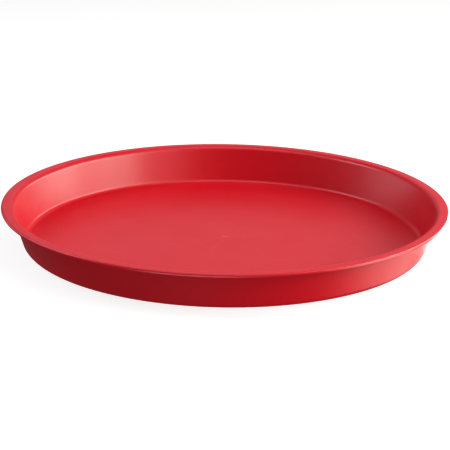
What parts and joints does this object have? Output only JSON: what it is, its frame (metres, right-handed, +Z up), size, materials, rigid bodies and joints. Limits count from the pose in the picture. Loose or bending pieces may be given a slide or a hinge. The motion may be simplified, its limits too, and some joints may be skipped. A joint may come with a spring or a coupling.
{
  "type": "poultry feed tray",
  "caption": "Round shallow feed tray moulded in one piece, with a flat floor, a flared wall and a turned-out lip whose edge turns down.",
  "frame": {"origin": "centre of the underside, on the ground plane", "axes": "+Z up along the tray's axis; X and Y lie in the ground plane, and the tray is round, so they have no preferred direction"},
  "size_m": [0.4, 0.4, 0.036],
  "materials": {
    "tray_plastic": "satin red polypropylene, smooth inside and out"
  },
  "bodies": {
    "root": {"feed_tray": "tray_plastic"}
  },
  "joints": []
}
